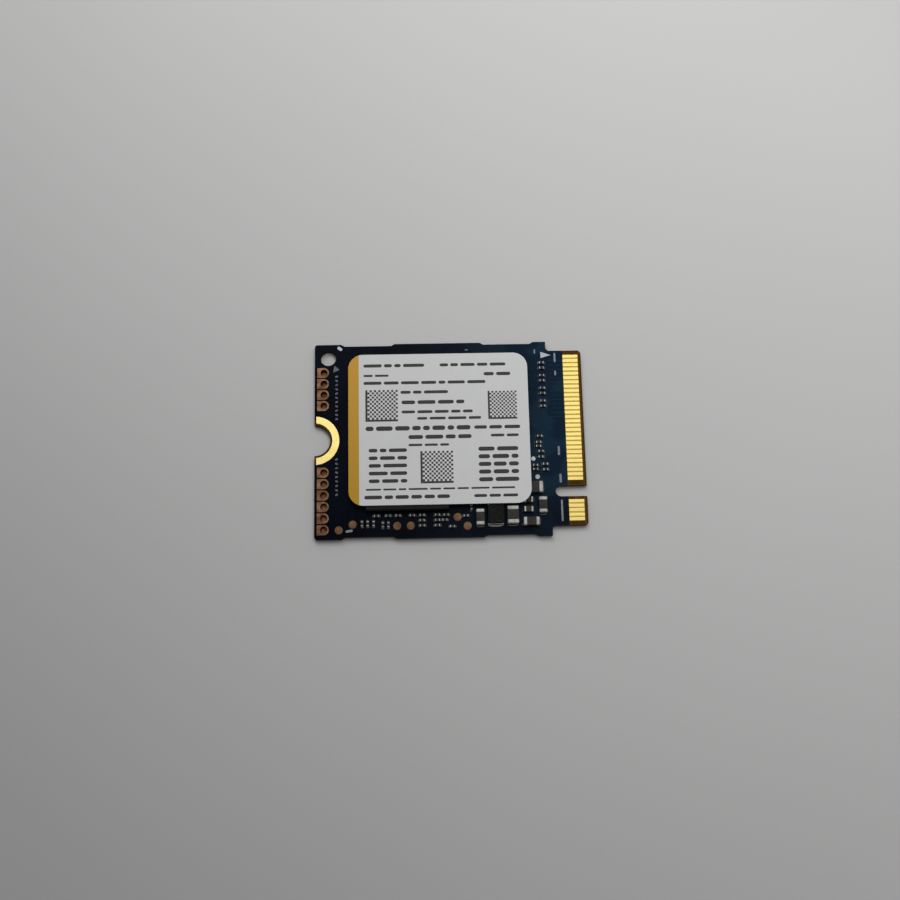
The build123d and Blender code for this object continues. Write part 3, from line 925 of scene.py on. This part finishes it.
# %% Fillets of the larger parts
JOINT_TUCK = 0.05
JOINT_SPREAD = 1.04
JOINT_CLIMB = 1.1
end_nodes = [part + "_end_caps" for part in LARGE_PARTS] + ["power_inductor_terminals"]
end_middles = [middle_of(box) for node in end_nodes for box in solids_of(node)]
large_fillets = bmesh.new()
for low, high in solids_of("solder_joints"):
    joint_middle = middle_of((low, high))
    end_middle = min(end_middles, key=lambda spot: (spot - joint_middle).xy.length)
    outward = outward_of(end_middle, joint_middle)
    run, width = along_and_across(high - low, outward)
    foot = joint_middle - outward * (run / 2 + JOINT_TUCK)
    foot.z = low.z
    climb = (high.z - low.z) * JOINT_CLIMB
    add_fillet(large_fillets, foot, outward, width * JOINT_SPREAD, run + JOINT_TUCK, climb)
new_piece("large_part_fillets", large_fillets, joint_solder, ["solder_joints"])

# %% [markdown]
# ## The power coil
# The coil's block is pressed to shape, so it keeps its cut corners and only its upper edges are worn
# soft. It is drawn as a stack of outlines: full at the foot, and drawn in at the top.

# %% Pressed block with soft upper edges
coil_low, coil_high = solids_of("power_inductor_core")[0]
COIL_CORNER = 0.16
COIL_SOFTNESS = 0.07
COIL_STEPS = 4


def cut_outline(low, high, inset, corner):
    """Rectangle with cut corners, drawn in by an inset."""
    x0, x1 = low.x + inset, high.x - inset
    y0, y1 = low.y + inset, high.y - inset
    return [
        (x0 + corner, y0), (x1 - corner, y0), (x1, y0 + corner), (x1, y1 - corner),
        (x1 - corner, y1), (x0 + corner, y1), (x0, y1 - corner), (x0, y0 + corner),
    ]


coil = bmesh.new()
stack = [(0.0, coil_low.z)]
for step in range(COIL_STEPS + 1):
    turn = math.pi / 2 * step / COIL_STEPS
    inset = COIL_SOFTNESS * (1 - math.cos(turn))
    drop = COIL_SOFTNESS * (1 - math.sin(turn))
    stack.append((inset, coil_high.z - drop))
add_skin(coil, [
    [(px, py, height) for px, py in cut_outline(coil_low, coil_high, inset, COIL_CORNER)]
    for inset, height in stack
])
new_piece("power_coil_block", coil, powder_finish, ["power_inductor_core"])

# %% [markdown]
# ## Marks on the board
# White ink on the mask marks pin rows, corners and the way the card points, with dashes, dots and
# pointers. Ink has a thickness that catches light, so each mark is a very thin solid, most of them with
# round ends, laid on the board. Screens wear, so the ink comes in three weights: full for the pointer,
# thinner for the dashes and faint for the two columns of pin marks.

# %% A bar with round ends
INK_HEIGHT = 0.012
END_STEPS = 5
ink_levels = (board_high.z, board_high.z + INK_HEIGHT)


def dash_outline(middle_x, middle_y, length, height, turned=0.0):
    """Bar with round ends, turned by an angle in degrees."""
    radius = height / 2
    straight = length / 2 - radius
    along = Vector((math.cos(math.radians(turned)), math.sin(math.radians(turned))))
    across = Vector((-along.y, along.x))
    middle = Vector((middle_x, middle_y))
    outline = []
    for sign in (1, -1):
        for step in range(END_STEPS + 1):
            turn = math.pi * (step / END_STEPS - 0.5)
            reach = straight + radius * math.cos(turn)
            outline.append(middle + (along * reach + across * (radius * math.sin(turn))) * sign)
    return outline


print("ink stands", INK_HEIGHT, "mm high")

# %% Dashes, dots and pointers in white ink
CORNER_DASH = (-12.2, 10.54, 0.62, 0.34, -38)
POINTER = [(10.42, 9.82), (10.42, 9.1), (11.55, 9.42)]
full_marks = bmesh.new()
add_prism(full_marks, dash_outline(*CORNER_DASH), ink_levels)
add_prism(full_marks, POINTER, ink_levels)
new_piece("full_board_marks", full_marks, full_ink)

DASHES = [
    (-11.2, -10.13, 0.8, 0.26, 8), (2.05, 10.18, 0.35, 0.1, 0), (12.0, 9.12, 1.1, 0.2, 90),
    (12.0, 7.3, 0.55, 0.2, 90), (12.04, -1.6, 1.05, 0.24, 90), (12.1, -4.7, 1.0, 0.24, 90),
    (12.13, -8.3, 2.4, 0.2, 90), (9.75, 9.86, 0.5, 0.14, 90),
]
dashes = bmesh.new()
for dash in DASHES:
    add_prism(dashes, dash_outline(*dash), ink_levels)
new_piece("board_dashes", dashes, board_ink)

PIN_POINTER = [(-12.95, 7.78), (-12.5, 7.95), (-12.25, 8.1), (-12.8, 8.6)]
PIN_COLUMNS = ((7.3, 2.4, 11), (-2.15, -6.1, 9))
PIN_X = -12.56
PIN_LENGTH, PIN_WIDTH = 0.34, 0.2
PIN_TILT = 25
pin_marks = bmesh.new()
add_prism(pin_marks, PIN_POINTER, ink_levels)
for first, last, count in PIN_COLUMNS:
    for index in range(count):
        middle_y = first + (last - first) * index / (count - 1)
        turned = PIN_TILT * (-1) ** index
        pin_mark = dash_outline(PIN_X, middle_y, PIN_LENGTH, PIN_WIDTH, turned)
        add_prism(pin_marks, pin_mark, ink_levels)
new_piece("pin_marks", pin_marks, faint_ink)

# %% [markdown]
# ## Print on the label
# The print is a film of dark ink: rows of plain bars cut into word lengths, and three checkered
# squares. Each bar is a thin prism with round ends, so it catches light like ink that stands on the
# film. Places are measured from the label's upper left corner, and a seeded generator cuts the lengths,
# so every run prints the same label.

# %% How a row and a checkered square are printed
PRINT_HEIGHT = 0.004
WORD_GAP = 0.24
SHORTEST_WORD, LONGEST_WORD = 0.7, 2.1
CHECKER_CELLS = 15
INKED_SHARE = 0.96
words = random.Random(22)
print_levels = (label_high.z, label_high.z + PRINT_HEIGHT)
label_print = bmesh.new()


def add_row(start, stop, down, height):
    """Row of word-long bars between two distances from the label's left edge."""
    left = start
    while left < stop:
        length = words.uniform(SHORTEST_WORD, LONGEST_WORD)
        if stop - left - length < WORD_GAP + SHORTEST_WORD:
            length = stop - left
        middle_x = label_low.x + left + length / 2
        bar = dash_outline(middle_x, label_high.y - down, length, height)
        add_prism(label_print, bar, print_levels)
        left += length + WORD_GAP


def add_field(left, right, low, high):
    """Printed rectangle between two places along each axis."""
    add_prism(label_print, [(left, low), (right, low), (right, high), (left, high)], print_levels)


def add_checker(left, down, size):
    """Square of alternating cells, with a bar along its left side and one along its foot."""
    cell = size / CHECKER_CELLS
    inked = cell * INKED_SHARE
    x0 = label_low.x + left
    y0 = label_high.y - down - size
    add_field(x0, x0 + inked, y0, y0 + size)
    add_field(x0 + cell, x0 + size, y0, y0 + inked)
    for column in range(1, CHECKER_CELLS):
        for row in range(1, CHECKER_CELLS):
            if (column + row) % 2 == 0:
                px, py = x0 + column * cell, y0 + row * cell
                add_field(px, px + inked, py, py + inked)


print("bars are", SHORTEST_WORD, "mm long or longer")

# %% Rows of bars and checkered squares
PRINT_ROWS = [
    (1.68, 8.45, 1.30, 0.36), (10.14, 17.5, 1.30, 0.34), (1.68, 4.47, 2.44, 0.24),
    (15.02, 18.0, 2.40, 0.38), (1.68, 15.21, 3.29, 0.34), (5.76, 11.03, 4.38, 0.34),
    (5.86, 12.82, 5.53, 0.42), (5.86, 13.72, 6.62, 0.32), (7.55, 14.62, 7.37, 0.3),
    (1.88, 13.42, 8.46, 0.5), (13.82, 18.9, 8.46, 0.38), (6.56, 13.52, 9.46, 0.44),
    (15.61, 18.7, 9.4, 0.3), (6.56, 11.03, 10.35, 0.26), (1.88, 18.1, 15.23, 0.2),
    (13.62, 18.4, 16.08, 0.32), (1.7, 11.0, 16.08, 0.4),
]
CHECKERS = ((1.88, 4.08, 3.58), (15.41, 4.38, 3.2), (7.85, 11.05, 3.58))
BLOCK_ROWS = 5
BLOCK_TOP, BLOCK_STEP = 10.9, 0.85
for start, stop, down, height in PRINT_ROWS:
    add_row(start, stop, down, height)
for left, down, size in CHECKERS:
    add_checker(left, down, size)
for index in range(BLOCK_ROWS):
    down = BLOCK_TOP + index * BLOCK_STEP
    add_row(2.2, 6.4, down, 0.4)
    add_row(14.2, 18.6, down, 0.46)
new_piece("label_print", label_print, label_ink)

# %% [markdown]
# ## Floor and light
# The drive lies on matt pale paper under one broad, soft light from the upper right, with the room's
# own light filling the shadows. A broad light also gives the gold something wide to mirror. The softbox
# is feathered, turned past the drive to the far right, so the paper darkens gently towards the lower
# left. Far from the drive the paper leaves the lamp's pool and would end in a dark horizon. There it
# fades into the same pale tone that stands behind it, for the camera and for mirror images only, so the
# light that falls on the drive stays the lamp's and the room's.

# %% What the camera and mirrors see far away
BACKDROP = (0.45, 0.449, 0.446)


def seen_or_mirrored(wire):
    """1 for rays from the camera or by way of a shiny or clear surface, 0 for light that spreads."""
    path = wire.node("ShaderNodeLightPath", output="Is Camera Ray")
    either = path + path.out("Is Glossy Ray") + path.out("Is Transmission Ray")
    return either.math("MINIMUM", 1.0)


print("backdrop has tone", BACKDROP)

# %% Paper that fades far away
FADE_START, FADE_END = 58.0, 140.0
paper_finish, wire = start_finish("pale_paper", Specular_IOR_Level=0.2)
place = place_in_mm(wire)
tooth = cloud(place, 2.5, 2.0)
shade = cloud(place, 0.02, 2.0) * 0.7 + tooth * 0.3
end_finish(
    paper_finish,
    Base_Color=colour_between(shade, (0.56, 0.555, 0.55), (0.60, 0.595, 0.59)),
    Roughness=0.75 + tooth * 0.1,
)
distance = wire.node("ShaderNodeVectorMath", {"operation": "LENGTH"}, {0: place}, output="Value")
far_off = rise(distance, FADE_START, FADE_END) * seen_or_mirrored(wire)
paper_nodes = paper_finish.node_tree.nodes
lit_paper = Wire(wire.tree, paper_nodes["Principled BSDF"].outputs["BSDF"])
backdrop = wire.node("ShaderNodeEmission", inputs={"Color": BACKDROP})
faded = wire.node("ShaderNodeMixShader", inputs={0: far_off, 1: lit_paper, 2: backdrop})
wire.tree.links.new(faded.socket, paper_nodes["Material Output"].inputs["Surface"])

# %% Pale floor
FLOOR_SIZE = 3.0
FLOOR_DROP = 0.00001
half = FLOOR_SIZE / 2
floor_corners = [
    (px, py, -FLOOR_DROP) for px, py in ((-half, -half), (half, -half), (half, half), (-half, half))
]
floor_mesh = bpy.data.meshes.new("floor")
floor_mesh.from_pydata(floor_corners, [], [(0, 1, 2, 3)])
floor_mesh.materials.append(paper_finish)
floor = bpy.data.objects.new("floor", floor_mesh)
bpy.context.scene.collection.objects.link(floor)
print("floor is", FLOOR_SIZE, "m wide")

# %% Softbox
SOFTBOX_PLACE = Vector((0.01, 0.135, 0.24))
SOFTBOX_AIM = Vector((0.19, 0.30, 0.0))
SOFTBOX_SIZE = 0.26
SOFTBOX_WATTS = 0.88
softbox = bpy.data.lights.new("key_softbox", "AREA")
softbox.size = SOFTBOX_SIZE
softbox.energy = SOFTBOX_WATTS
stand = bpy.data.objects.new("key_softbox", softbox)
bpy.context.scene.collection.objects.link(stand)
stand.location = SOFTBOX_PLACE
stand.rotation_mode = "QUATERNION"
stand.rotation_quaternion = (SOFTBOX_AIM - SOFTBOX_PLACE).to_track_quat("-Z", "Y")
print("softbox is", SOFTBOX_SIZE, "m wide")

# %% A room that is brighter on the window side
ROOM_DIM, ROOM_BRIGHT = (0.10, 0.10, 0.103), (0.36, 0.363, 0.366)
world = bpy.data.worlds.new("room")
bpy.context.scene.world = world
world.use_nodes = True
room = Wire(world.node_tree)
toward = room.node("ShaderNodeTexCoord", output="Generated")
window_side = rise(axes_of(toward)[1], -0.7, 0.7)
room_light = colour_between(window_side, ROOM_DIM, ROOM_BRIGHT)
surround = colour_between(seen_or_mirrored(room), room_light, BACKDROP)
world.node_tree.links.new(surround.socket, world.node_tree.nodes["Background"].inputs["Color"])
print("lit by one softbox and the room")
